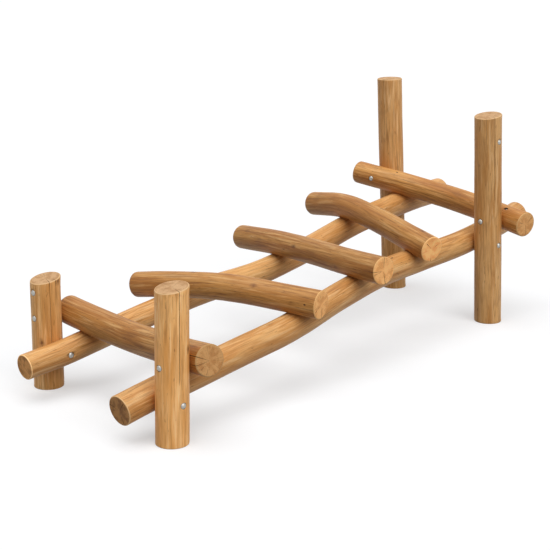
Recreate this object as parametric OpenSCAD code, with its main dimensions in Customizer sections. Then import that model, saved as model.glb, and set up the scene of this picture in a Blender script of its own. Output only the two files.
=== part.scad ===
// Log climbing bridge for a playground: two crooked stringers rise from a low pair of posts to a
// high pair, and five bent cross logs lie over them as steps. Every log is round, debarked wood.
// X runs along the bridge from its low end to its high end, Y from front to back, Z is up.
// The origin is on the ground, under the middle of the bridge.

/* [Overall] */
// Distance from the middle of the low pair of posts to the middle of the high pair
post_span = 2670; // [2200:10:3300]
// Distance between the two low posts, centre to centre
low_width = 1040; // [850:5:1250]
// Distance between the two high posts, centre to centre
high_width = 900; // [720:5:1100]
// How far the low pair stands towards the front of the middle line
low_shift = 35; // [-60:5:60]
// How far the high pair stands towards the front of the middle line
high_shift = 15; // [-60:5:60]
// How far each low post stands off the square line, the back one uphill and the front one downhill
low_skew = 40; // [-60:5:60]
// How far each high post stands off the square line, the back one uphill and the front one downhill
high_skew = 112; // [-20:1:120]

/* [Low back post] */
// Height at the middle of its sawn top
low_back_height = 570; // [480:5:900]
// Diameter
low_back_d = 154; // [125:1:185]
// Lean along and across the bridge, in mm for each metre of height
low_back_lean = [6, -4]; // [-40:1:40]
// Fall of its sawn top towards the low end, in mm for each 100 mm
low_back_top = 22; // [0:1:30]

/* [Low front post] */
// Height at the middle of its sawn top
low_front_height = 736; // [480:1:900]
// Diameter
low_front_d = 157; // [125:1:185]
// Lean along and across the bridge, in mm for each metre of height
low_front_lean = [12, -10]; // [-40:1:40]
// Fall of its sawn top towards the low end, in mm for each 100 mm
low_front_top = 18; // [0:1:30]

/* [High back post] */
// Height at the middle of its sawn top
high_back_height = 1356; // [1100:1:1700]
// Diameter
high_back_d = 155; // [125:1:185]
// Lean along and across the bridge, in mm for each metre of height
high_back_lean = [-27, 34]; // [-40:1:40]
// Fall of its sawn top towards the low end, in mm for each 100 mm
high_back_top = 4; // [0:1:30]

/* [High front post] */
// Height at the middle of its sawn top
high_front_height = 1230; // [1000:1:1600]
// Diameter
high_front_d = 159; // [125:1:185]
// Lean along and across the bridge, in mm for each metre of height
high_front_lean = [-23, 31]; // [-40:1:40]
// Fall of its sawn top towards the low end, in mm for each 100 mm
high_front_top = 18; // [0:1:30]

/* [Back stringer] */
// Height of its axis at the low post
back_low_z = 206; // [150:1:300]
// Height of its axis at the high post
back_high_z = 600; // [450:1:800]
// Diameter at the low end
back_low_d = 130; // [110:1:170]
// Diameter at the high end
back_high_d = 152; // [120:1:175]
// How far its low end and its high end run past their posts
back_tails = [232, 315]; // [150:1:600]
// Sideways bends of its axis at the stations, positive towards the back
back_sway = [4, 0, -7, -14, -23, -22, -13, 0, 8]; // [-60:1:60]
// Upward bends of its axis at the stations
back_rise = [10, 0, 8, 4, -30, -17, 10, 0, -29]; // [-60:1:60]

/* [Front stringer] */
// Height of its axis at the low post
front_low_z = 199; // [150:1:300]
// Height of its axis at the high post
front_high_z = 473; // [380:1:700]
// Diameter at the low end
front_low_d = 148; // [120:1:170]
// Diameter at the high end
front_high_d = 145; // [120:1:170]
// How far its low end and its high end run past their posts
front_tails = [189, 520]; // [150:1:600]
// Sideways bends of its axis at the stations, positive towards the back
front_sway = [11, 0, -29, -40, -31, -13, 0, 0, -12]; // [-60:1:60]
// Upward bends of its axis at the stations
front_rise = [-11, 0, 14, 20, 51, 58, 30, 0, 27]; // [-60:1:60]

/* [Cross log 1, against the low posts] */
// Diameter at its back end and at its front end
log_1_d = [149, 152]; // [120:1:175]
// How far it runs past the back post's axis and past the front post's axis
log_1_reach = [24, 114]; // [15:1:200]
// Bends along the bridge at its stations, from back to front
log_1_sway = [-2, 0, 12, 26, 13, 0, -13]; // [-90:1:90]
// Upward bends at its stations, from back to front
log_1_rise = [17, 14, 0, -18, 0, 14, 28]; // [-90:1:90]

/* [Cross log 2] */
// Where it crosses the back and the front stringer, as shares of the post span
log_2_place = [0.263, 0.340]; // [0.15:0.005:0.4]
// Diameter at its back end and at its front end
log_2_d = [138, 147]; // [120:1:175]
// How far it runs past the back and the front stringer's axis
log_2_reach = [184, 158]; // [110:1:400]
// Bends along the bridge at its stations, from back to front
log_2_sway = [10, 0, 0, 0, -7]; // [-90:1:90]
// Upward bends at its stations, from back to front
log_2_rise = [-22, 0, 24, 0, -10]; // [-90:1:90]

/* [Cross log 3] */
// Where it crosses the back and the front stringer, as shares of the post span
log_3_place = [0.578, 0.530]; // [0.45:0.005:0.65]
// Diameter at its back end and at its front end
log_3_d = [139, 148]; // [120:1:175]
// How far it runs past the back and the front stringer's axis
log_3_reach = [343, 233]; // [110:1:400]
// Bends along the bridge at its stations, from back to front
log_3_sway = [-18, 0, 0, 0, 12]; // [-90:1:90]
// Upward bends at its stations, from back to front
log_3_rise = [-15, 0, 5, 0, -2]; // [-90:1:90]

/* [Cross log 4] */
// Where it crosses the back and the front stringer, as shares of the post span
log_4_place = [0.800, 0.737]; // [0.7:0.005:0.85]
// Diameter at its back end and at its front end
log_4_d = [143, 146]; // [120:1:175]
// How far it runs past the back and the front stringer's axis
log_4_reach = [320, 169]; // [110:1:400]
// Bends along the bridge at its stations, from back to front
log_4_sway = [-24, 0, -3, 0, 10]; // [-90:1:90]
// Upward bends at its stations, from back to front
log_4_rise = [-74, 0, 13, 0, -9]; // [-90:1:90]

/* [Cross log 5, against the high posts] */
// Diameter at its back end and at its front end
log_5_d = [139, 147]; // [120:1:175]
// How far it runs past the back post's axis and past the front post's axis
log_5_reach = [148, 186]; // [15:1:260]
// Bends along the bridge at its stations, from back to front
log_5_sway = [-16, 0, 22, 64, 32, 0, -46]; // [-90:1:90]
// Upward bends at its stations, from back to front
log_5_rise = [-2, 0, 0, -5, 0, 6, 14]; // [-90:1:90]

/* [Joinery] */
// Depth of the saddle cut into a cross log where it sits on a stringer
saddle_cut = 12; // [6:1:20]
// Depth of the hollow cut into a stringer where it meets a post
stringer_cut = 11; // [5:1:20]
// Depth of the hollow cut into a cross log where it meets a post
cross_cut = 7; // [4:1:15]
// Clearance left in every cut
fit_gap = 0.3; // [0.2:0.1:0.6]

/* [Bolts] */
// Diameter of the through bolts
bolt_d = 12; // [8:1:16]
// Diameter of their domed heads
head_d = 30; // [22:1:36]
// Height of their domed heads
head_h = 8; // [5:0.5:12]
// Diameter of the washers under their nuts
washer_d = 37; // [28:1:50]
// Thickness of those washers
washer_t = 3; // [2:0.5:5]
// Width of the nuts across their flats
nut_w = 19; // [15:1:26]
// Height of the nuts without their domes
nut_h = 10; // [7:1:14]
// Depth of the spot face under a head
head_spot = 2.5; // [2:0.5:6]
// Depth of the spot face under a washer
washer_spot = 3.5; // [3:0.5:8]
// How far the coach bolt in the high back post reaches past the stringer's axis
coach_bite = 20; // [0:5:50]
// Height of the spare bolt in the low back post
low_spare_z = 506; // [460:1:520]
// Height of the spare bolt in the high front post
high_spare_z = 1082; // [800:5:1150]
// Diameter of the screws that hold the cross logs down from below
screw_d = 10; // [6:1:14]
// Diameter of their heads
screw_head_d = 26; // [18:1:32]
// Thickness of their heads
screw_head_h = 6; // [4:0.5:10]
// Depth of the counterbores that hide their heads
screw_sink = 14; // [10:1:30]
// How far they reach into a cross log past its underside
screw_bite = 80; // [50:5:110]

/* [Hidden] */

sides = 24;             // flats round a crooked log
ring_step = 110;        // distance between the rings of a crooked log
post_sides = 96;        // smoothness of a straight post
cut_length = 260;       // stretch of a stringer that is cut out of a cross log
tangent_step = 5;       // distance over which a log's direction is measured
below = 60;             // how far a post's cutting tools run past its ends
bore_gap = 0.5;         // play of a bolt or a screw in its hole, and of a head in its spot face
spot_run = 40;          // how far the tool for a spot face or a counterbore runs outwards
bolt_sides = 48;        // smoothness of the bolts

// The bridge is centred on the longest reach of its stringers past the two pairs of posts.
reach_low = max(front_tails[0] + low_skew, back_tails[0] - low_skew);
reach_high = max(front_tails[1] - high_skew, back_tails[1] + high_skew);
low_x = reach_low - (reach_low + post_span + reach_high) / 2;
high_x = low_x + post_span;

// A post is [foot x, foot y, lean, height, radius, slope of its top].
post_low_back = [low_x + low_skew, low_width / 2 - low_shift,
                 low_back_lean / 1000, low_back_height, low_back_d / 2, low_back_top / 100];
post_low_front = [low_x - low_skew, -low_width / 2 - low_shift,
                  low_front_lean / 1000, low_front_height, low_front_d / 2, low_front_top / 100];
post_high_back = [high_x + high_skew, high_width / 2 - high_shift,
                  high_back_lean / 1000, high_back_height, high_back_d / 2, high_back_top / 100];
post_high_front = [high_x - high_skew, -high_width / 2 - high_shift,
                   high_front_lean / 1000, high_front_height, high_front_d / 2, high_front_top / 100];

function post_x(post, z) = post[0] + post[2][0] * z;
function post_y(post, z) = post[1] + post[2][1] * z;
function post_r(post) = post[4];

// A crooked log's axis is a smooth curve through stations of [distance, offset, height].
function mix(a, b, t) = a + (b - a) * t;
function trend(stations, i) =
    let (a = max(i - 1, 0), b = min(i + 1, len(stations) - 1))
    (stations[b] - stations[a]) / (stations[b][0] - stations[a][0]);
function bay(stations, s, i = 0) =
    i >= len(stations) - 2 || s < stations[i + 1][0] ? i : bay(stations, s, i + 1);
function on_curve(stations, s) =
    let (i = bay(stations, s), h = stations[i + 1][0] - stations[i][0],
         t = (s - stations[i][0]) / h)
    stations[i] * (1 + 2 * t) * pow(1 - t, 2) + trend(stations, i) * h * t * pow(1 - t, 2)
    + stations[i + 1] * (3 - 2 * t) * t * t + trend(stations, i + 1) * h * (t - 1) * t * t;

// A crooked log is [stations, first radius, last radius, true if it runs along X].
function log_start(log) = log[0][0][0];
function log_end(log) = log[0][len(log[0]) - 1][0];
function log_r(log, s) = mix(log[1], log[2], (s - log_start(log)) / (log_end(log) - log_start(log)));
function log_at(log, s) =
    let (p = on_curve(log[0], s)) log[3] ? p : [p[1], p[0], p[2]];
function log_way(log, s) =
    let (d = log_at(log, s + tangent_step) - log_at(log, s - tangent_step)) d / norm(d);
function ring_count(log) = ceil((log_end(log) - log_start(log)) / ring_step);

// Stringers run along X. They pass on the inner side of the posts, each in its hollow.
shares = [0, 0.2, 0.35, 0.5, 0.65, 0.8, 1];
function stringer(low, high, low_z, high_z, low_r, high_r, tails, sway, rise, inward) =
    let (x0 = post_x(low, low_z), x1 = post_x(high, high_z),
         y0 = post_y(low, low_z) + inward * (post_r(low) + low_r - stringer_cut),
         y1 = post_y(high, high_z) + inward * (post_r(high) + high_r - stringer_cut),
         places = concat([-tails[0] / (x1 - x0)], shares, [1 + tails[1] / (x1 - x0)]))
    [[for (i = [0 : len(places) - 1])
        [mix(x0, x1, places[i]), mix(y0, y1, places[i]) + sway[i],
         mix(low_z, high_z, places[i]) + rise[i]]],
     low_r, high_r, true];
back_log = stringer(post_low_back, post_high_back, back_low_z, back_high_z,
                    back_low_d / 2, back_high_d / 2, back_tails, back_sway, back_rise, -1);
front_log = stringer(post_low_front, post_high_front, front_low_z, front_high_z,
                     front_low_d / 2, front_high_d / 2, front_tails, front_sway, front_rise, 1);

// Height of a cross log's axis over a stringer at x, with its saddle cut in.
function seat_z(under, x, r) =
    log_at(under, x)[2]
    + (log_r(under, x) + r - saddle_cut) / norm([log_way(under, x)[0], log_way(under, x)[1]]);
function seat_y(under, x) = log_at(under, x)[1];

// A free cross log has five stations: its ends, its two seats and its middle.
function free_log(place, d, reach, sway, rise) =
    let (xb = mix(low_x, high_x, place[0]), xf = mix(low_x, high_x, place[1]),
         yb = seat_y(back_log, xb), yf = seat_y(front_log, xf),
         zb = seat_z(back_log, xb, d[0] / 2), zf = seat_z(front_log, xf, d[1] / 2),
         places = [yf - reach[1], yf, (yb + yf) / 2, yb, yb + reach[0]])
    [[for (i = [0 : 4])
        [places[i], mix(xf, xb, (places[i] - yf) / (yb - yf)) + sway[4 - i],
         mix(zf, zb, (places[i] - yf) / (yb - yf)) + rise[4 - i]]],
     d[1] / 2, d[0] / 2, false];

// A cross log that is bolted to a pair of posts has two more stations, where it meets them.
// Side is 1 where it lies uphill of a post, and -1 where it lies downhill of it.
function post_log(back, front, back_side, front_side, d, reach, sway, rise) =
    let (zb0 = seat_z(back_log, back[0], d[0] / 2), zf0 = seat_z(front_log, front[0], d[1] / 2),
         pb = [post_x(back, zb0) + back_side * (post_r(back) + d[0] / 2 - cross_cut),
               post_y(back, zb0)],
         pf = [post_x(front, zf0) + front_side * (post_r(front) + d[1] / 2 - cross_cut),
               post_y(front, zf0)],
         yb = seat_y(back_log, pb[0]), yf = seat_y(front_log, pf[0]),
         xb = mix(pf[0], pb[0], (yb - pf[1]) / (pb[1] - pf[1])) + sway[2],
         xf = mix(pf[0], pb[0], (yf - pf[1]) / (pb[1] - pf[1])) + sway[4],
         zb = seat_z(back_log, xb, d[0] / 2), zf = seat_z(front_log, xf, d[1] / 2),
         places = [pf[1] - reach[1], pf[1], yf, (yb + yf) / 2, yb, pb[1], pb[1] + reach[0]])
    [[for (i = [0 : 6])
        [places[i], mix(pf[0], pb[0], (places[i] - pf[1]) / (pb[1] - pf[1])) + sway[6 - i],
         mix(zf, zb, (places[i] - yf) / (yb - yf)) + rise[6 - i]]],
     d[1] / 2, d[0] / 2, false];

log_1 = post_log(post_low_back, post_low_front, 1, 1, log_1_d, log_1_reach, log_1_sway, log_1_rise);
log_2 = free_log(log_2_place, log_2_d, log_2_reach, log_2_sway, log_2_rise);
log_3 = free_log(log_3_place, log_3_d, log_3_reach, log_3_sway, log_3_rise);
log_4 = free_log(log_4_place, log_4_d, log_4_reach, log_4_sway, log_4_rise);
log_5 = post_log(post_high_back, post_high_front, -1, 1, log_5_d, log_5_reach, log_5_sway, log_5_rise);

// Place of a seat: where a cross log's axis lies over a stringer.
function seat_x(log, under, s) = log_at(log, seat_y(under, log_at(log, s)[0]))[0];
function back_seat(log) = seat_x(log, back_log, log_end(log));
function front_seat(log) = seat_x(log, front_log, log_start(log));

// A fastener is [seat of its head, direction, grip, true if it has a nut, shank, head].
// A through bolt joins two rounds, from the far side of the first to the far side of the second.
function through_bolt(p0, r0, p1, r1) =
    let (d = (p1 - p0) / norm(p1 - p0))
    [p0 - d * (r0 - head_spot), d, norm(p1 - p0) + r0 + r1 - head_spot - washer_spot,
     true, bolt_d, head_d];

// A coach bolt is screwed through the first round and ends inside the second.
function coach_bolt(p0, r0, p1) =
    let (d = (p1 - p0) / norm(p1 - p0))
    [p0 - d * (r0 - head_spot), d, norm(p1 - p0) + r0 - head_spot + coach_bite, false, bolt_d, head_d];

// A joint between a crooked log and a post is [point and radius of the log, and of the post].
// The bolt passes through both axes. It starts at the log's side or at the post's side.
function joint_at(log, s, post) =
    let (on_log = log_at(log, s)) [on_log, log_r(log, s), post_point(post, on_log[2]), post_r(post)];
function post_point(post, z) = [post_x(post, z), post_y(post, z), z];
function from_log(joint) = through_bolt(joint[0], joint[1], joint[2], joint[3]);
function from_post(joint) = through_bolt(joint[2], joint[3], joint[0], joint[1]);

// Stringers are bolted across the bridge, cross logs along it.
low_back_joint = joint_at(back_log, post_x(post_low_back, back_low_z), post_low_back);
low_front_joint = joint_at(front_log, post_x(post_low_front, front_low_z), post_low_front);
high_back_joint = joint_at(back_log, post_x(post_high_back, back_high_z), post_high_back);
high_front_joint = joint_at(front_log, post_x(post_high_front, front_high_z), post_high_front);
function station_y(log, i) = log[0][i][0];
bolt_1 = from_log(low_back_joint);
bolt_2 = from_post(low_front_joint);
bolt_3 = coach_bolt(high_back_joint[2], high_back_joint[3], high_back_joint[0]);
bolt_4 = from_post(high_front_joint);
bolt_5 = from_post(joint_at(log_1, station_y(log_1, 5), post_low_back));
bolt_6 = from_post(joint_at(log_1, station_y(log_1, 1), post_low_front));
bolt_7 = from_log(joint_at(log_5, station_y(log_5, 5), post_high_back));
bolt_8 = from_post(joint_at(log_5, station_y(log_5, 1), post_high_front));

// A spare bolt fills a hole through one post alone.
function spare_bolt(post, z, d) =
    [post_point(post, z) - d * (post_r(post) - head_spot), d,
     2 * post_r(post) - head_spot - washer_spot, true, bolt_d, head_d];
bolt_9 = spare_bolt(post_low_back, low_spare_z, [1, 0, 0]);
bolt_10 = spare_bolt(post_high_front, high_spare_z, [0, 1, 0]);

// A seat screw stands upright, from a counterbore under a stringer into the cross log on it.
function seat_screw(log, under, x) =
    let (p = log_at(under, x), way = log_way(under, x),
         drop = log_r(under, x) / norm([way[0], way[1]]))
    [[p[0], p[1], p[2] - drop + screw_sink], [0, 0, 1], 2 * drop - screw_sink + screw_bite,
     false, screw_d, screw_head_d];
cross_logs = [log_1, log_2, log_3, log_4, log_5];
back_screws = [for (log = cross_logs) seat_screw(log, back_log, back_seat(log))];
front_screws = [for (log = cross_logs) seat_screw(log, front_log, front_seat(log))];

module along(bolt) {
    d = bolt[1];
    translate(bolt[0]) rotate([0, acos(d[2]), atan2(d[1], d[0])]) children();
}

// A shallow dome on a round base, standing up from it.
module dome(base_d, h) {
    ball_r = (base_d * base_d / 4 + h * h) / (2 * h);
    intersection() {
        translate([0, 0, h - ball_r]) sphere(r = ball_r, $fn = bolt_sides);
        cylinder(h = h + 1, d = base_d + 2, $fn = bolt_sides);
    }
}

// A domed bolt, with its washer and cap nut drawn up tight where it has them.
module bolt_body(bolt) {
    along(bolt) {
        mirror([0, 0, 1]) translate([0, 0, fit_gap]) dome(bolt[5], head_h);
        translate([0, 0, -fit_gap - 1]) cylinder(h = bolt[2], d = bolt[4], $fn = bolt_sides);
        if (bolt[3])
            translate([0, 0, bolt[2] + fit_gap]) {
                translate([0, 0, -5]) cylinder(h = 5, d = bolt[4], $fn = bolt_sides);
                cylinder(h = washer_t, d = washer_d, $fn = bolt_sides);
                cylinder(h = washer_t + nut_h, d = nut_w / cos(30), $fn = 6);
                translate([0, 0, washer_t + nut_h - 1]) dome(nut_w - 2, nut_w / 2 - 2);
            }
    }
}

// A wood screw with a flat round head, without its thread.
module screw_body(screw) {
    along(screw) {
        translate([0, 0, -fit_gap - screw_head_h])
            cylinder(h = screw_head_h, d = screw[5], $fn = bolt_sides);
        translate([0, 0, -fit_gap - 1]) cylinder(h = screw[2], d = screw[4], $fn = bolt_sides);
    }
}

// The holes and spot faces that the bolts and screws need in a log.
module drilled(fasteners) {
    difference() {
        children();
        for (f = fasteners) along(f) {
            translate([0, 0, -1]) cylinder(h = f[2] + 1, d = f[4] + 2 * bore_gap, $fn = bolt_sides);
            translate([0, 0, -spot_run]) cylinder(h = spot_run, d = f[5] + 2 * bore_gap, $fn = bolt_sides);
            if (f[3])
                translate([0, 0, f[2]])
                    cylinder(h = spot_run, d = washer_d + 2 * bore_gap, $fn = bolt_sides);
        }
    }
}

// The straight round of a post, larger all round by grow where it is used to cut a neighbour.
module post_round(post, grow = 0) {
    turn_y = atan(post[2][0]);
    translate([post[0], post[1], 0])
        rotate([-atan(post[2][1] * cos(turn_y)), turn_y, 0])
            translate([0, 0, -below])
                cylinder(h = post[3] + 2 * below, r = post[4] + grow, $fn = post_sides);
}

// A post, sawn level at the ground and aslant at its top.
module post(post) {
    size = 4 * post[4];
    difference() {
        post_round(post);
        translate([post[0] - size / 2, post[1] - size / 2, -size]) cube(size);
        translate([post_x(post, post[3]), post_y(post, post[3]), post[3]])
            rotate([0, -atan(post[5]), 0])
                translate([-size / 2, -size / 2, 0]) cube(size);
    }
}

// A crooked log swept along its axis, between two of its rings.
module log_round(log, grow = 0, first = 0, last = undef) {
    count = ring_count(log);
    stop = is_undef(last) ? count : last;
    rings = [for (k = [first : stop])
        let (s = mix(log_start(log), log_end(log), k / count),
             way = log_way(log, s),
             flat = cross(way, [0, 0, 1]), across = flat / norm(flat), up = cross(across, way),
             r = log_r(log, s) + grow)
        [for (j = [0 : sides - 1])
            log_at(log, s) + r * (cos(360 * j / sides) * across + sin(360 * j / sides) * up)]];
    points = [for (ring = rings) each ring];
    top = len(rings) - 1;
    walls = [for (i = [0 : top - 1], j = [0 : sides - 1])
        let (a = i * sides + j, b = i * sides + (j + 1) % sides)
        each [[a, b + sides, a + sides], [a, b, b + sides]]];
    start_face = [for (j = [sides - 1 : -1 : 0]) j];
    end_face = [for (j = [0 : sides - 1]) top * sides + j];
    polyhedron(points, concat([start_face], walls, [end_face]), convexity = 6);
}

// The stretch of a stringer under x, grown by the clearance, that cuts a cross log's saddle.
module saddle_tool(under, x) {
    count = ring_count(under);
    span = log_end(under) - log_start(under);
    first = max(0, floor((x - cut_length / 2 - log_start(under)) / span * count));
    last = min(count, ceil((x + cut_length / 2 - log_start(under)) / span * count));
    log_round(under, fit_gap, first, last);
}

module stringer_node(log, low, high) {
    difference() {
        log_round(log);
        post_round(low, fit_gap);
        post_round(high, fit_gap);
    }
}

module cross_node(log, posts = []) {
    difference() {
        log_round(log);
        saddle_tool(back_log, back_seat(log));
        saddle_tool(front_log, front_seat(log));
        for (post = posts) post_round(post, fit_gap);
    }
}

module low_back_post() color("peru") drilled([bolt_1, bolt_5, bolt_9]) post(post_low_back);
module low_front_post() color("peru") drilled([bolt_2, bolt_6]) post(post_low_front);
module high_back_post() color("peru") drilled([bolt_3, bolt_7]) post(post_high_back);
module high_front_post() color("peru") drilled([bolt_4, bolt_8, bolt_10]) post(post_high_front);
module back_stringer() color("burlywood")
    drilled(concat([bolt_1, bolt_3], back_screws)) stringer_node(back_log, post_low_back, post_high_back);
module front_stringer() color("burlywood")
    drilled(concat([bolt_2, bolt_4], front_screws)) stringer_node(front_log, post_low_front, post_high_front);
module cross_log_1() color("sandybrown")
    drilled([bolt_5, bolt_6, back_screws[0], front_screws[0]]) cross_node(log_1, [post_low_back, post_low_front]);
module cross_log_2() color("sandybrown") drilled([back_screws[1], front_screws[1]]) cross_node(log_2);
module cross_log_3() color("sandybrown") drilled([back_screws[2], front_screws[2]]) cross_node(log_3);
module cross_log_4() color("sandybrown") drilled([back_screws[3], front_screws[3]]) cross_node(log_4);
module cross_log_5() color("sandybrown")
    drilled([bolt_7, bolt_8, back_screws[4], front_screws[4]]) cross_node(log_5, [post_high_back, post_high_front]);
module bolt_node(bolt) color("silver") bolt_body(bolt);
module screw_node(screw) color("silver") screw_body(screw);

low_back_post();
low_front_post();
high_back_post();
high_front_post();
back_stringer();
front_stringer();
cross_log_1();
cross_log_2();
cross_log_3();
cross_log_4();
cross_log_5();
bolt_node(bolt_1);  // bolt_low_back_stringer
bolt_node(bolt_2);  // bolt_low_front_stringer
bolt_node(bolt_3);  // bolt_high_back_stringer
bolt_node(bolt_4);  // bolt_high_front_stringer
bolt_node(bolt_5);  // bolt_low_back_log_1
bolt_node(bolt_6);  // bolt_low_front_log_1
bolt_node(bolt_7);  // bolt_high_back_log_5
bolt_node(bolt_8);  // bolt_high_front_log_5
bolt_node(bolt_9);  // spare_bolt_low_back
bolt_node(bolt_10);  // spare_bolt_high_front
screw_node(back_screws[0]);  // seat_screw_back_1
screw_node(back_screws[1]);  // seat_screw_back_2
screw_node(back_screws[2]);  // seat_screw_back_3
screw_node(back_screws[3]);  // seat_screw_back_4
screw_node(back_screws[4]);  // seat_screw_back_5
screw_node(front_screws[0]);  // seat_screw_front_1
screw_node(front_screws[1]);  // seat_screw_front_2
screw_node(front_screws[2]);  // seat_screw_front_3
screw_node(front_screws[3]);  // seat_screw_front_4
screw_node(front_screws[4]);  // seat_screw_front_5
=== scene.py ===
import math

import bmesh
import bpy
import numpy as np
from mathutils import Matrix, Vector


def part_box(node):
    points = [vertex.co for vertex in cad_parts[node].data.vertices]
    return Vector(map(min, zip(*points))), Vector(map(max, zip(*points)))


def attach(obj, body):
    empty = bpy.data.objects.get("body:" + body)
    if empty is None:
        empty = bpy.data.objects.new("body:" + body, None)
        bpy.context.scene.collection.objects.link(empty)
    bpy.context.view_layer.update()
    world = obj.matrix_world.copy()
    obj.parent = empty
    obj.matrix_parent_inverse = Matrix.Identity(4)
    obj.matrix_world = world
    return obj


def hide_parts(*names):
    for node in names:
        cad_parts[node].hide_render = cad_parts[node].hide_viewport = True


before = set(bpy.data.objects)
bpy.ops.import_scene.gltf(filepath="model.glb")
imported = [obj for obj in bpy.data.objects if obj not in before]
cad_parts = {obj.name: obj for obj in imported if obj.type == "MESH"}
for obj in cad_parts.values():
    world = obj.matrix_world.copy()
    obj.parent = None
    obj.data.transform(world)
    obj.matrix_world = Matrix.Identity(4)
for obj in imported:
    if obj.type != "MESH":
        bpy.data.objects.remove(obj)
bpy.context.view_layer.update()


# ---- Posts
# Four round posts carry the bridge. Each is a peeled and machine-rounded softwood log, stood on the
# ground and sawn aslant at the top so that rain runs off. They have dried standing, so their tops have
# opened in radial checks and long cracks run down their sides.

def select_only(piece):
    bpy.ops.object.select_all(action="DESELECT")
    piece.select_set(True)
    bpy.context.view_layer.objects.active = piece


def pick(piece, kind, test):
    """Opens a piece in edit mode with only those vertices, edges or faces selected that pass the test."""
    select_only(piece)
    bpy.ops.object.mode_set(mode="EDIT")
    bpy.ops.mesh.select_mode(type=kind)
    bpy.ops.mesh.select_all(action="DESELECT")
    mesh = bmesh.from_edit_mesh(piece.data)
    for part in {"VERT": mesh.verts, "EDGE": mesh.edges, "FACE": mesh.faces}[kind]:
        if test(part):
            part.select_set(True)
    mesh.select_flush_mode()
    bmesh.update_edit_mesh(piece.data)


def leave():
    bpy.ops.object.mode_set(mode="OBJECT")


def finish_with(piece, kind, **settings):
    """Adds a modifier to a piece and applies it."""
    select_only(piece)
    modifier = piece.modifiers.new(kind.lower(), kind)
    for key, value in settings.items():
        setattr(modifier, key, value)
    bpy.ops.object.modifier_apply(modifier=modifier.name)


def numbers(data, key, width):
    """All the numbers of one kind in a mesh, as rows."""
    values = np.empty(len(data) * width, dtype=np.float32)
    data.foreach_get(key, values)
    return values.reshape(-1, width)


def corner_values(piece, name, kind, values):
    """Gives each face corner of a piece a number or a vector that its material reads."""
    if name in piece.data.attributes:
        piece.data.attributes.remove(piece.data.attributes[name])
    layer = piece.data.attributes.new(name, kind, "CORNER")
    layer.data.foreach_set("vector" if kind == "FLOAT_VECTOR" else "value",
                           np.ascontiguousarray(values, dtype=np.float32).ravel())


def corner_vertices(piece):
    order = np.empty(len(piece.data.loops), dtype=np.int32)
    piece.data.loops.foreach_get("vertex_index", order)
    return order


def turn_log(name, length, radius, rims):
    """A straight round log from the origin along X. Its rims are worn round, each by its own radius."""
    bpy.ops.object.select_all(action="DESELECT")
    sides, ring_step = 72, 0.012
    bpy.ops.mesh.primitive_cylinder_add(vertices=sides, radius=radius, depth=length,
                                        location=(length / 2, 0, 0), rotation=(0, math.pi / 2, 0))
    log = bpy.context.object
    log.name = log.data.name = name
    bpy.ops.object.transform_apply(location=True, rotation=True, scale=True)
    for place, rim in ((0, rims[0]), (length, rims[1])):
        pick(log, "EDGE", lambda edge: all(abs(v.co.x - place) < 1e-5 for v in edge.verts))
        bpy.ops.mesh.bevel(offset=rim, segments=5, affect="EDGES")
        leave()
        pick(log, "FACE", lambda face: abs(face.calc_center_median().x - place) < 1e-5)
        for step in (0.1, 0.25, 0.3):
            bpy.ops.mesh.inset(thickness=(radius - rim) * step)
        bpy.ops.mesh.poke()
        leave()
    pick(log, "EDGE", lambda edge: abs(edge.verts[0].co.x - edge.verts[1].co.x) > length / 2)
    bpy.ops.mesh.subdivide(number_cuts=round(length / ring_step))
    leave()
    log["length"], log["radius"], log["rims"] = length, radius, rims
    return log


def keep_grain(log, shift, tone, end_tone=0.0):
    """Stores where each point lies in the straight log, so that the grain follows every later bend.
    Shift is how far along the same tree's grain this log was cut, the tones are how much lighter than
    most the wood is on its side and on its sawn ends. The ends are marked 1, their narrow rims a half,
    which the material paints with a pale painted highlight."""
    places = numbers(log.data.vertices, "co", 3)[corner_vertices(log)]
    corner_values(log, "grain", "FLOAT_VECTOR", places + (shift, 0, 0))
    sawn = np.zeros(len(log.data.loops), dtype=np.float32)
    for face in log.data.polygons:
        end = 0 if face.center.x < log["length"] / 2 else 1
        heart = math.hypot(face.center.y, face.center.z) < log["radius"] - log["rims"][end]
        if abs(face.normal.x) > 0.9 and heart:
            sawn[face.loop_start:face.loop_start + face.loop_total] = 1
        elif abs(face.normal.x) > 0.2 and log["rims"][end] < 0.010:
            sawn[face.loop_start:face.loop_start + face.loop_total] = 0.5
    corner_values(log, "sawn", "FLOAT", sawn)
    corner_values(log, "split", "FLOAT", np.zeros_like(sawn))
    corner_values(log, "tone", "FLOAT", np.where(sawn == 0, tone, end_tone))


def swell(log, shift):
    """Lets a log swell and shrink as a grown one does, in long lumps, all but its two ends."""
    size, height, stretch = 0.16, 0.0045, 2.2
    lumps = bpy.data.textures.new("lumps", "CLOUDS")
    lumps.noise_scale = size
    lumps.noise_depth = 1
    bpy.ops.object.empty_add(location=(shift, shift / 3, 0))
    centre = bpy.context.object
    centre.scale = (stretch, 1, 1)
    bpy.context.view_layer.update()
    end_run = 0.012
    pick(log, "VERT", lambda v: end_run < v.co.x < log["length"] - end_run)
    log.vertex_groups.new(name="round")
    bpy.ops.object.vertex_group_assign()
    leave()
    finish_with(log, "DISPLACE", texture=lumps, texture_coords="OBJECT", texture_coords_object=centre,
                strength=height, mid_level=0.55, vertex_group="round")
    log.vertex_groups.clear()
    bpy.data.objects.remove(centre)
    bpy.data.textures.remove(lumps)


def cut_out(log, tool):
    """Takes a tool's shape out of a log, and puts the tool away."""
    finish_with(log, "BOOLEAN", operation="DIFFERENCE", solver="MANIFOLD", object=tool)
    bpy.data.objects.remove(tool)


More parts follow.
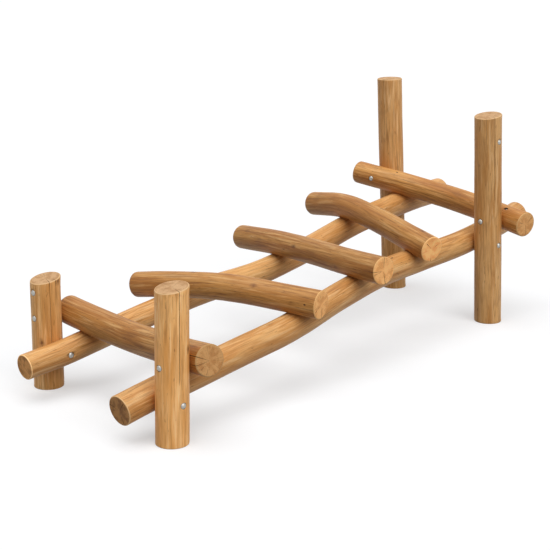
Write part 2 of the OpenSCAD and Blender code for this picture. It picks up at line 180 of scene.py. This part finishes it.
def open_check(log, end, depth, turn, across, width, shift):
    """Opens a drying crack in a straight log, from its near end (0) or its far end (1) to a depth. It
    lies at an angle round the log, between two distances from its heart, and closes as it goes in."""
    overrun, inner_share, tip_share = 0.04, 0.12, 0.1
    run, deep = depth + overrun, across[1] - across[0]
    bpy.ops.object.select_all(action="DESELECT")
    bpy.ops.mesh.primitive_cube_add(size=1)
    blade = bpy.context.object
    blade.scale = (run, deep, width)
    blade.location = (run / 2 - overrun, (across[0] + across[1]) / 2, 0)
    bpy.ops.object.transform_apply(location=True, rotation=False, scale=True)
    pick(blade, "EDGE", lambda edge: abs(edge.verts[0].co.x - edge.verts[1].co.x) > run / 2)
    bpy.ops.mesh.subdivide(number_cuts=max(2, round(run / 0.03)))
    leave()
    pick(blade, "VERT", lambda v: v.co.y < across[0] + 1e-5)
    bpy.ops.transform.resize(value=(1, 1, inner_share))
    leave()
    pick(blade, "VERT", lambda v: v.co.x > depth - 1e-5)
    bpy.ops.transform.resize(value=(1, 1, tip_share))
    leave()
    if end:
        pick(blade, "VERT", lambda v: True)
        bpy.ops.transform.mirror(constraint_axis=(True, False, False), center_override=(log["length"] / 2, 0, 0))
        bpy.ops.mesh.normals_make_consistent(inside=False)
        leave()
    blade.rotation_euler = (math.radians(turn), 0, 0)
    bpy.ops.object.transform_apply(location=False, rotation=True, scale=False)
    places = numbers(blade.data.vertices, "co", 3)[corner_vertices(blade)]
    corner_values(blade, "grain", "FLOAT_VECTOR", places + (shift, 0, 0))
    # The crack's walls are marked split, which the material paints with dark painted shade.
    corner_values(blade, "split", "FLOAT", np.ones(len(blade.data.loops)))
    cut_out(log, blade)


class Reading:
    """A value, colour or vector inside a material, so that its maths reads as arithmetic."""

    def __init__(self, finish, socket):
        self.finish, self.socket = finish, socket

    def maths(self, operation, *terms):
        return self.finish.add("Math", {"operation": operation}, dict(enumerate(terms)))

    def __add__(self, other): return self.maths("ADD", self, other)
    def __radd__(self, other): return self.maths("ADD", other, self)
    def __sub__(self, other): return self.maths("SUBTRACT", self, other)
    def __rsub__(self, other): return self.maths("SUBTRACT", other, self)
    def __mul__(self, other): return self.maths("MULTIPLY", self, other)
    def __rmul__(self, other): return self.maths("MULTIPLY", other, self)

    def sine(self): return self.maths("SINE", self)
    def size(self): return self.maths("ABSOLUTE", self)
    def larger(self, other): return self.maths("MAXIMUM", self, other)

    def between(self, low, high):
        """0 below low, 1 above high and a soft step between them."""
        return self.finish.add("MapRange", {"interpolation_type": "SMOOTHSTEP"},
                               {"Value": self, "From Min": low, "From Max": high})


class Finish:
    """A material, or the studio's sky, that is built up node by node."""

    def __init__(self, owner):
        owner.use_nodes = True
        self.nodes, self.links = owner.node_tree.nodes, owner.node_tree.links
        self.nodes.clear()

    def add(self, kind, settings=None, inputs=None, out=0):
        node = self.nodes.new("ShaderNode" + kind)
        for key, value in (settings or {}).items():
            setattr(node, key, value)
        for key, value in (inputs or {}).items():
            if isinstance(value, Reading):
                self.links.new(value.socket, node.inputs[key])
            else:
                node.inputs[key].default_value = value
        return Reading(self, node.outputs[out]) if node.outputs else None

    def vector(self, operation, *terms, out=0):
        return self.add("VectorMath", {"operation": operation}, dict(enumerate(terms)), out)

    def blend(self, below, above, share, mode="MIX"):
        """Lays one colour over another."""
        return self.add("Mix", {"data_type": "RGBA", "blend_type": mode}, {0: share, 6: below, 7: above}, 2)


def paint(red, green, blue):
    """A colour as it looks, from 0 to 255, as the light it returns."""
    return tuple(((c / 255 + 0.055) / 1.055) ** 2.4 if c > 10 else c / 3295 for c in (red, green, blue)) + (1,)


def peeled_wood(name, tan, honey, amber, umber, end_tan, end_brown, figure):
    """Peeled softwood: long bands and fibres along the log, small dark knots and flecks, rings and
    radial checks on the sawn ends, painted shade on the walls inside the drying cracks, knot holes
    and bores, and a pale painted highlight on the narrow rims of the sawn ends. Figure is how strong
    the streaks are."""
    material = bpy.data.materials.new(name)
    wood = Finish(material)
    grain = wood.add("Attribute", {"attribute_name": "grain"}, out="Vector")
    sawn, split, tone = (wood.add("Attribute", {"attribute_name": mark}, out="Fac")
                         for mark in ("sawn", "split", "tone"))

    def noise(stretch, scale, detail=3.0, rough=0.5, warp=0.0):
        pulled = wood.vector("MULTIPLY", grain, (stretch, 1, 1))
        return wood.add("TexNoise", {}, {"Vector": pulled, "Scale": scale, "Detail": detail,
                                         "Roughness": rough, "Distortion": warp})

    across = wood.vector("MULTIPLY", grain, (0, 1, 1))
    from_heart = wood.vector("LENGTH", across, out="Value")
    bands = noise(0.14, 15, 3, 0.55, 0.6)
    streaks = noise(0.06, 62, 4, 0.6, 0.4)
    fibres = noise(0.03, 210, 4, 0.65)
    hairs = noise(0.025, 480, 2)
    drift = noise(0.30, 6, 2)

    # The long side of the log
    side = wood.blend(honey, amber, bands.between(0.40, 0.62) * 0.9)
    side = wood.blend(side, tan, streaks.between(0.50, 0.68) * (0.85 * figure))
    side = wood.blend(side, umber, (1 - streaks.between(0.32, 0.47)) * (0.60 * figure))
    side = wood.blend(side, umber, (1 - fibres.between(0.34, 0.48)) * (0.60 * figure))
    side = wood.blend(side, tan, fibres.between(0.55, 0.70) * (0.50 * figure))
    side = wood.blend(side, umber, (1 - hairs.between(0.30, 0.42)) * 0.45)
    side = wood.blend(side, amber, drift.between(0.48, 0.66) * 0.50)
    # Year rings, laid bare where the peeling cuts through them
    ring_wave = (from_heart * 2600 + noise(0.10, 9, 2) * 55).sine()
    side = wood.blend(side, umber, ring_wave.between(0.5, 1.0) * (0.20 * figure))
    # Small knots, darkest at their hearts, and short dark flecks
    knot_room = wood.vector("MULTIPLY", grain, (0.62, 1, 1))
    wobble = wood.add("TexNoise", {}, {"Vector": grain, "Scale": 45.0, "Detail": 2.0}, 1)
    warped = wood.vector("ADD", knot_room, wood.vector("MULTIPLY", wobble, (0.012, 0.012, 0.012)))
    knots = wood.add("TexVoronoi", {}, {"Vector": warped, "Scale": 6.5, "Randomness": 1.0})
    knot = 1 - knots.between(0.03, 0.13)
    side = wood.blend(side, umber, knot * 0.70)
    side = wood.blend(side, paint(84, 48, 22), (1 - knots.between(0.01, 0.055)) * 0.75)
    flecks = noise(0.16, 130, 1)
    side = wood.blend(side, paint(100, 60, 28), flecks.between(0.71, 0.77) * 0.6)

    # The sawn ends
    rings = (from_heart * 1400 + noise(1, 22, 2) * 8).sine()
    end = wood.blend(end_tan, end_brown, noise(1, 26, 3).between(0.42, 0.62) * 0.75)
    end = wood.blend(end, end_brown, rings.between(0.0, 1.0) * 0.45)
    end = wood.blend(end, umber, noise(1, 190, 2, 0.6).between(0.56, 0.74) * 0.35)
    spoke_way = wood.vector("NORMALIZE", across)
    spokes = wood.add("TexNoise", {}, {"Vector": spoke_way, "Scale": 7.0, "Detail": 2.0})
    fine_checks = 1 - (spokes - 0.5).size().between(0.002, 0.012)
    end = wood.blend(end, umber, fine_checks * from_heart.between(0.004, 0.03) * 0.60)

    colour = wood.blend(side, end, sawn.between(0.4, 0.6))
    # Painted highlight: the narrow rim of a sawn end is painted pale tan, where light catches its rounded edge
    rim = 1 - (sawn - 0.5).size().between(0.05, 0.2)
    colour = wood.blend(colour, tan, rim * 0.65)
    colour = wood.add("VectorMath", {"operation": "SCALE"}, {0: colour, "Scale": 1 + tone})
    # Painted shade: the walls of cracks, knot holes and bores are painted near black-brown.
    colour = wood.blend(colour, paint(58, 34, 18), split * 0.92)
    height = streaks * 0.6 + fibres * 0.7 + hairs * 0.3 - knot * 0.8
    bump = wood.add("Bump", {}, {"Strength": 0.4, "Distance": 0.0018, "Height": height})
    rough = 0.60 - fibres * 0.16 + sawn * 0.2
    shader = wood.add("BsdfPrincipled", {}, {"Base Color": colour, "Roughness": rough, "Normal": bump,
                                             "Specular IOR Level": 0.35})
    wood.add("OutputMaterial", {}, {"Surface": shader})
    return material


def cad_mesh(node):
    """The triangles of a CAD node, in metres, and their normals and areas."""
    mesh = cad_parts[node].data
    mesh.calc_loop_triangles()
    order = np.empty(len(mesh.loop_triangles) * 3, dtype=np.int32)
    mesh.loop_triangles.foreach_get("vertices", order)
    faces = numbers(mesh.vertices, "co", 3)[order].reshape(-1, 3, 3)
    normals = np.cross(faces[:, 1] - faces[:, 0], faces[:, 2] - faces[:, 0])
    areas = np.linalg.norm(normals, axis=1)
    return faces, normals / np.maximum(areas, 1e-12)[:, None], areas / 2


def cut_face(node, way):
    """The middle and the normal of the flat face that ends a node in this direction."""
    faces, normals, areas = cad_mesh(node)
    way = np.array(way, dtype=np.float32)
    reach = faces.mean(axis=1) @ way
    facing = (normals @ way > 0.85) & (reach > reach.max() - 0.06)
    best = np.argmax(np.where(facing, areas, 0))
    flat = facing & (normals @ normals[best] > 0.9998)
    level = faces[best].mean(axis=0) @ normals[best]
    flat &= np.abs(faces.mean(axis=1) @ normals[best] - level) < 5e-4
    corners = faces[flat].reshape(-1, 3)
    return Vector((corners.min(axis=0) + corners.max(axis=0)).tolist()) / 2, Vector(normals[best].tolist())


def saw_end(log, place, rim, slope):
    """Turns one end of a straight log to the slope of its saw cut, in Y and in Z."""
    # The rings that the tilted end would run into are taken out first.
    room = log["radius"] * (abs(slope[0]) + abs(slope[1])) + 0.003
    tilt_y, tilt_z = math.atan(slope[1]), math.atan(slope[0])
    pick(log, "EDGE", lambda edge: abs(edge.verts[0].co.x - edge.verts[1].co.x) < 1e-5
         and rim + 1e-4 < abs(edge.verts[0].co.x - place) < rim + room)
    bpy.ops.mesh.dissolve_edges()
    leave()
    pick(log, "VERT", lambda v: abs(v.co.x - place) < rim + 1e-4)
    for axis, angle, steep in (("Y", -tilt_y, (1, 1, 1 / math.cos(tilt_y))),
                               ("Z", tilt_z, (1, 1 / math.cos(tilt_z), 1))):
        bpy.ops.transform.rotate(value=angle, orient_axis=axis, center_override=(place, 0, 0))
        bpy.ops.transform.resize(value=steep, center_override=(place, 0, 0))
    leave()


post_wood = peeled_wood("peeled_posts", tan=paint(230, 190, 138), honey=paint(206, 157, 98),
                        amber=paint(186, 130, 68), umber=paint(124, 82, 42),
                        end_tan=paint(208, 168, 124), end_brown=paint(172, 128, 84), figure=0.75)

# Each post: the shift and the tone of its grain, and its drying cracks as (depth from the top, angle,
# (inner, outer) distance from the heart, width).
posts = {
    "low_back_post": (0.0, 0.42, [
        (0.36, 160, (0.052, 0.09), 0.0024), (0.040, 160, (0.004, 0.09), 0.0026),
        (0.035, 186, (0.004, 0.09), 0.0022), (0.025, 330, (0.004, 0.050), 0.0018)]),
    "low_front_post": (7.0, 0.78, [
        (0.44, 164, (0.050, 0.09), 0.0028), (0.040, 164, (0.004, 0.09), 0.0026),
        (0.025, 60, (0.003, 0.045), 0.0020), (0.025, 285, (0.003, 0.040), 0.0018)]),
    "high_back_post": (14.0, 0.26, [
        (0.42, 100, (0.058, 0.09), 0.0018), (0.030, 100, (0.006, 0.09), 0.0020)]),
    "high_front_post": (21.0, 0.16, [
        (0.50, 154, (0.055, 0.09), 0.0022), (0.030, 154, (0.006, 0.09), 0.0020),
        (0.030, 210, (0.004, 0.09), 0.0020), (0.20, 118, (0.062, 0.09), 0.0016)]),
}
post_rims = (0.004, 0.005)
logs = {}


def dress(log, node, wood):
    """Gives a finished log its material and its place in the frame."""
    log.data.materials.clear()
    log.data.materials.append(wood)
    select_only(log)
    bpy.ops.object.shade_smooth_by_angle(angle=math.radians(38))
    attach(log, "root")
    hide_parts(node)
    logs[node] = log


for name, (shift, tone, cracks) in posts.items():
    foot, down = cut_face(name, (0, 0, -1))
    top, up = cut_face(name, (0, 0, 1))
    low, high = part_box(name)
    length = (top - foot).length
    way = (top - foot).normalized()
    radius = (high[1] - low[1] - abs(top.y - foot.y)) / 2
    post = turn_log(name + "_log", length, radius, post_rims)
    # X of the straight log stands up, its Y stays Y and its Z points to the low end.
    low_way = (Vector((-1, 0, 0)) - way * Vector((-1, 0, 0)).dot(way)).normalized()
    stand = Matrix((way, low_way.cross(way), low_way)).transposed()
    swell(post, shift)
    for place, rim, normal in ((0, post_rims[0], down), (length, post_rims[1], up)):
        n = stand.transposed() @ normal
        saw_end(post, place, rim, (-n.y / n.x, -n.z / n.x))
    keep_grain(post, shift, tone)
    for crack in cracks:
        open_check(post, 1, *crack, shift)
    post.matrix_world = Matrix.Translation(foot) @ stand.to_4x4()
    select_only(post)
    bpy.ops.object.transform_apply(location=True, rotation=True, scale=True)
    dress(post, name, post_wood)


# ---- Stringers
# Two long crooked logs carry the steps. Each is hollowed on its outer side to fit round its low and its
# high post and is bolted there, and keeps the bends it grew with. Same peeled softwood as the posts.

def log_line(node, along, ends):
    """The line through the heart of a crooked CAD log, measured from its round stretches, with the
    radius at each point. Along is 0 if the log runs along X, 1 if it runs along Y."""
    faces = cad_mesh(node)[0]
    slice_step, most_uneven = 0.045, 0.0035
    way = np.eye(3)[along]
    first, last = cut_face(node, -way)[0], cut_face(node, way)[0]
    across = [axis for axis in range(3) if axis != along]
    line = [(first, ends[0] / 2)]
    start, stop = first[along], last[along]
    for place in np.arange(start + 0.05, stop - 0.04, slice_step):
        level = faces[:, :, along] - place
        cut = []
        for i, j in ((0, 1), (1, 2), (2, 0)):
            crossing = level[:, i] * level[:, j] < 0
            share = (level[crossing, i] / (level[crossing, i] - level[crossing, j]))[:, None]
            cut.append((faces[crossing, i] * (1 - share) + faces[crossing, j] * share)[:, across])
        cut = np.concatenate(cut)
        fit = np.linalg.lstsq(np.c_[2 * cut, np.ones(len(cut))], (cut ** 2).sum(axis=1), rcond=None)[0]
        radius = math.sqrt(fit[2] + fit[0] ** 2 + fit[1] ** 2)
        uneven = np.abs(np.linalg.norm(cut - fit[:2], axis=1) - radius).max()
        if uneven < most_uneven:
            point = [0, 0, 0]
            point[along], point[across[0]], point[across[1]] = place, fit[0], fit[1]
            share = (place - start) / (stop - start)
            line.append((Vector(point), (ends[0] + (ends[1] - ends[0]) * share) / 2))
    return line + [(last, ends[1] / 2)]


def bend_log(log, line):
    """Bends a straight log to a line, and tapers it to the radius at each point."""
    track = bpy.data.curves.new("line", "CURVE")
    track.dimensions = "3D"
    track.twist_mode = "Z_UP"
    track.use_stretch = track.use_deform_bounds = True
    spline = track.splines.new("BEZIER")
    spline.bezier_points.add(len(line) - 1)
    for knot, (point, radius) in zip(spline.bezier_points, line):
        knot.co = point
        knot.radius = radius / log["radius"]
        knot.handle_left_type = knot.handle_right_type = "AUTO"
    guide = bpy.data.objects.new("line", track)
    bpy.context.scene.collection.objects.link(guide)
    bpy.context.view_layer.update()
    finish_with(log, "CURVE", object=guide, deform_axis="POS_X")
    bpy.data.objects.remove(guide)


def line_length(line):
    return sum((b[0] - a[0]).length for a, b in zip(line, line[1:]))


def saddle(log, piece):
    """Hollows a log to fit round its neighbour, a hair away from it."""
    tool = piece.copy()
    tool.data = piece.data.copy()
    bpy.context.scene.collection.objects.link(tool)
    finish_with(tool, "DISPLACE", strength=0.0004, mid_level=0)
    # The hollow is marked a half, like a rim, so the material paints it with the same pale painted highlight.
    corner_values(tool, "sawn", "FLOAT", np.full(len(tool.data.loops), 0.5))
    cut_out(log, tool)


stringer_wood = peeled_wood("peeled_stringers", tan=paint(232, 192, 138), honey=paint(214, 162, 100),
                            amber=paint(194, 134, 70), umber=paint(124, 78, 38),
                            end_tan=paint(180, 130, 76), end_brown=paint(110, 70, 32), figure=0.7)
# Each stringer: its diameters at the low and the high end, the shift of its grain, the tones of its side
# and its ends, its posts, and the cracks of its low end as (depth, angle, distances from the heart, width).
for name, ends, shift, tones, beside, cracks in (
        ("back_stringer", (0.130, 0.152), 31.0, (0.10, 0.80), ("low_back_post", "high_back_post"),
         [(0.03, 100, (0.004, 0.045), 0.0026), (0.03, 215, (0.004, 0.05), 0.0026)]),
        ("front_stringer", (0.148, 0.145), 43.0, (0.02, 0.25), ("low_front_post", "high_front_post"),
         [(0.03, 15, (0.004, 0.09), 0.0036), (0.03, 130, (0.003, 0.06), 0.0032),
          (0.03, 255, (0.003, 0.065), 0.0036)])):
    line = log_line(name, 0, ends)
    stringer = turn_log(name + "_log", line_length(line), ends[0] / 2, (0.005, 0.006))
    keep_grain(stringer, shift, *tones)
    swell(stringer, shift)
    for crack in cracks:
        open_check(stringer, 0, *crack, shift)
    bend_log(stringer, line)
    for post in beside:
        saddle(stringer, logs[post])
    dress(stringer, name, stringer_wood)


# ---- Cross logs
# Five bent logs lie over the stringers as steps, each saddled over both and screwed up from below. The
# first and the last are bolted to the posts as well. Their ends are sawn square and worn round.

cross_log_wood = peeled_wood("peeled_cross_logs", tan=paint(216, 171, 112), honey=paint(194, 140, 75),
                             amber=paint(168, 109, 48), umber=paint(104, 62, 27),
                             end_tan=paint(242, 184, 118), end_brown=paint(208, 142, 80), figure=0.95)
# Each cross log: its diameters and the wear of its rims at the front and the back end, the shift of its
# grain, the tones of its side and its ends, the posts beside it, and the cracks of its front end.
for name, ends, rims, shift, tones, beside, cracks in (
        ("cross_log_1", (0.152, 0.149), (0.006, 0.020), 55.0, (0.0, -0.22), ("low_back_post", "low_front_post"),
         [(0.09, 24, (0.002, 0.09), 0.0034), (0.05, -8, (0.004, 0.09), 0.0026),
          (0.02, 325, (0.030, 0.062), 0.0018), (0.02, 290, (0.035, 0.066), 0.0018)]),
        ("cross_log_2", (0.147, 0.138), (0.005, 0.018), 61.0, (0.04, 0.26), (),
         [(0.03, -24, (0.004, 0.066), 0.0024), (0.03, 262, (0.004, 0.09), 0.0026),
          (0.02, 75, (0.010, 0.055), 0.0018)]),
        ("cross_log_3", (0.148, 0.139), (0.005, 0.018), 67.0, (-0.04, 0.28), (),
         [(0.06, 92, (0.002, 0.09), 0.0034), (0.08, 262, (0.000, 0.09), 0.0044),
          (0.04, 2, (0.010, 0.09), 0.0030)]),
        ("cross_log_4", (0.146, 0.143), (0.006, 0.020), 73.0, (0.04, 0.52), (),
         [(0.03, 42, (0.002, 0.058), 0.0028), (0.04, 268, (0.030, 0.09), 0.0026),
          (0.02, 150, (0.008, 0.045), 0.0016)]),
        ("cross_log_5", (0.147, 0.139), (0.007, 0.018), 79.0, (0.26, 0.05), ("high_back_post", "high_front_post"),
         [(0.04, 262, (0.004, 0.09), 0.0032), (0.03, 140, (0.004, 0.06), 0.0020),
          (0.03, 20, (0.006, 0.055), 0.0020)])):
    line = log_line(name, 1, ends)
    step = turn_log(name + "_log", line_length(line), ends[0] / 2, rims)
    keep_grain(step, shift, *tones)
    swell(step, shift)
    for crack in cracks:
        open_check(step, 0, *crack, shift)
    bend_log(step, line)
    for other in ("back_stringer", "front_stringer") + beside:
        saddle(step, logs[other])
    dress(step, name, cross_log_wood)


# Small holes where a knot has fallen out: the log, the place on its skin, and the hole's half sizes.
for name, place, sizes in (
        ("cross_log_1", (-1.294, -0.501, 0.444), (0.005, 0.009, 0.004)),
        ("cross_log_2", (-0.572, -0.536, 0.463), (0.004, 0.007, 0.004)),
        ("cross_log_2", (-0.572, -0.552, 0.455), (0.003, 0.005, 0.003)),
        ("cross_log_5", (1.175, 0.420, 0.809), (0.004, 0.010, 0.004)),
        ("cross_log_5", (1.197, 0.310, 0.791), (0.004, 0.009, 0.004)),
        ("cross_log_5", (1.213, -0.500, 0.673), (0.010, 0.014, 0.010)),
        ("front_stringer", (0.321, -0.366, 0.512), (0.010, 0.005, 0.004))):
    bpy.ops.object.select_all(action="DESELECT")
    bpy.ops.mesh.primitive_uv_sphere_add(segments=20, ring_count=12, radius=1, location=place)
    knot_hole = bpy.context.object
    knot_hole.scale = sizes
    bpy.ops.object.transform_apply(location=True, rotation=True, scale=True)
    # The hole's walls are marked split, which the material paints with dark painted shade.
    corner_values(knot_hole, "split", "FLOAT", np.ones(len(knot_hole.data.loops)))
    cut_out(logs[name], knot_hole)

# The head of a screw in the widest of those holes
bpy.ops.object.select_all(action="DESELECT")
bpy.ops.mesh.primitive_uv_sphere_add(segments=24, ring_count=12, radius=0.0045, location=(1.2173, -0.5001, 0.6675))
screw_head = bpy.context.object
screw_head.name = screw_head.data.name = "sunk_screw_head"
screw_head.scale = (0.8, 1, 0.8)
bpy.ops.object.transform_apply(location=True, rotation=True, scale=True)
bpy.ops.object.shade_smooth()
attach(screw_head, "root")


# ---- Bolts and screws
# Galvanised steel: domed bolts through the posts, with washers and cap nuts on their far sides, and
# screws up through the stringers into the steps, their heads sunk. The turned shapes are the frame's own.


def bore(log, name, sunk):
    """Bores a log for a bolt or a screw, with a little room. A sunk head gets its pocket to the outside."""
    room, pocket = 0.0016, 0.05
    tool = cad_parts[name].copy()
    tool.data = tool.data.copy()
    bpy.context.scene.collection.objects.link(tool)
    tool.parent = None
    pick(tool, "VERT", lambda v: True)
    bpy.ops.mesh.remove_doubles(threshold=0.00002)
    leave()
    finish_with(tool, "DISPLACE", strength=room, mid_level=0)
    if sunk:
        cap, outward = cut_face(name, (0, 0, -1))
        pick(tool, "FACE", lambda face: face.normal.dot(outward) > 0.98
             and (face.calc_center_median() - cap).dot(outward) > -0.001)
        bpy.ops.mesh.extrude_region_move(TRANSFORM_OT_translate={"value": outward * pocket})
        leave()
    tool.data.materials.clear()
    # The bore's walls and its pocket are marked split, which the material paints with dark painted shade.
    corner_values(tool, "split", "FLOAT", np.ones(len(tool.data.loops)))
    cut_out(log, tool)


for name in list(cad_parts):
    if "bolt" in name:
        low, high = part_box(name)
        for log in list(logs.values()):
            box = log.bound_box
            if all(low[i] < box[6][i] and high[i] > box[0][i] for i in range(3)):
                bore(log, name, sunk=False)
    elif "screw" in name:
        side, number = name.split("_")[-2:]
        bore(logs[side + "_stringer"], name, sunk=True)
        bore(logs["cross_log_" + number], name, sunk=False)

galvanised = bpy.data.materials.new("galvanised_steel")
steel = Finish(galvanised)
place = steel.add("TexCoord", {}, {}, "Object")
spangle = steel.add("TexVoronoi", {}, {"Vector": place, "Scale": 420.0})
haze = steel.add("TexNoise", {}, {"Vector": place, "Scale": 90.0, "Detail": 3.0})
colour = steel.blend(paint(182, 180, 174), paint(138, 136, 130), spangle.between(0.1, 0.9) * 0.6)
colour = steel.blend(colour, paint(140, 130, 114), haze.between(0.58, 0.75) * 0.4)
bump = steel.add("Bump", {}, {"Strength": 0.2, "Distance": 0.0004, "Height": haze})
skin = steel.add("BsdfPrincipled", {}, {"Base Color": colour, "Metallic": 0.9, "Roughness": 0.34 + haze * 0.2,
                                        "Normal": bump})
steel.add("OutputMaterial", {}, {"Surface": skin})
screw_head.data.materials.append(galvanised)
for name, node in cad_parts.items():
    if "bolt" in name or "screw" in name:
        for slot in node.material_slots:
            slot.material = galvanised


# ---- Light, floor and camera
bpy.ops.object.select_all(action="DESELECT")
bpy.ops.mesh.primitive_circle_add(vertices=96, radius=60, fill_type="NGON")
floor = bpy.context.object
floor.name = "studio_floor"
carpet = bpy.data.materials.new("studio_floor")
ground = Finish(carpet)
seen = ground.add("LightPath", out="Is Camera Ray").larger(ground.add("LightPath", out="Is Glossy Ray"))
dull = ground.add("BsdfDiffuse", {}, {"Color": (0.22, 0.22, 0.22, 1)})
paper = ground.add("BsdfDiffuse", {}, {"Color": (0.93, 0.94, 0.96, 1)})
white = ground.add("Emission", {}, {"Color": (1, 1, 1, 1), "Strength": 1.0})
bright = ground.add("MixShader", {}, {0: 0.46, 1: paper, 2: white})
lit = ground.add("MixShader", {}, {0: seen, 1: dull, 2: bright})
ground.add("OutputMaterial", {}, {"Surface": lit})
floor.data.materials.append(carpet)

studio = bpy.data.worlds.new("studio")
bpy.context.scene.world = studio
sky = Finish(studio)
seen = sky.add("LightPath", out="Is Camera Ray").larger(sky.add("LightPath", out="Is Glossy Ray"))
faint = sky.add("Background", {}, {"Color": (1, 1, 1, 1), "Strength": 0.21})
plain = sky.add("Background", {}, {"Color": (1, 1, 1, 1), "Strength": 1.0})
sky.add("OutputWorld", {}, {"Surface": sky.add("MixShader", {}, {0: seen, 1: faint, 2: plain})})


def soft_sky(name, direction, spread, strength):
    """A wide, even studio light from a direction, with no fall-off over the floor."""
    lamp = bpy.data.lights.new(name, "SUN")
    lamp.angle = math.radians(spread)
    lamp.energy = strength
    holder = bpy.data.objects.new(name, lamp)
    bpy.context.scene.collection.objects.link(holder)
    holder.rotation_euler = (-Vector(direction)).to_track_quat("-Z", "Y").to_euler()


soft_sky("overhead_light", (-0.16, 0.0, 1.0), 60, 2.15)
soft_sky("front_light", (-0.10, -1.0, 0.70), 50, 1.35)

view = bpy.data.cameras.new("camera")
camera = bpy.data.objects.new("camera", view)
bpy.context.scene.collection.objects.link(camera)
view.sensor_width = 36
view.lens = 85.09
camera.location = (-5.1241, -4.7344, 2.2554)
camera.rotation_euler = (math.radians(90 - 14.8271), 0, math.radians(-45.965))
bpy.context.scene.camera = camera
bpy.context.scene.view_settings.view_transform = "Standard"
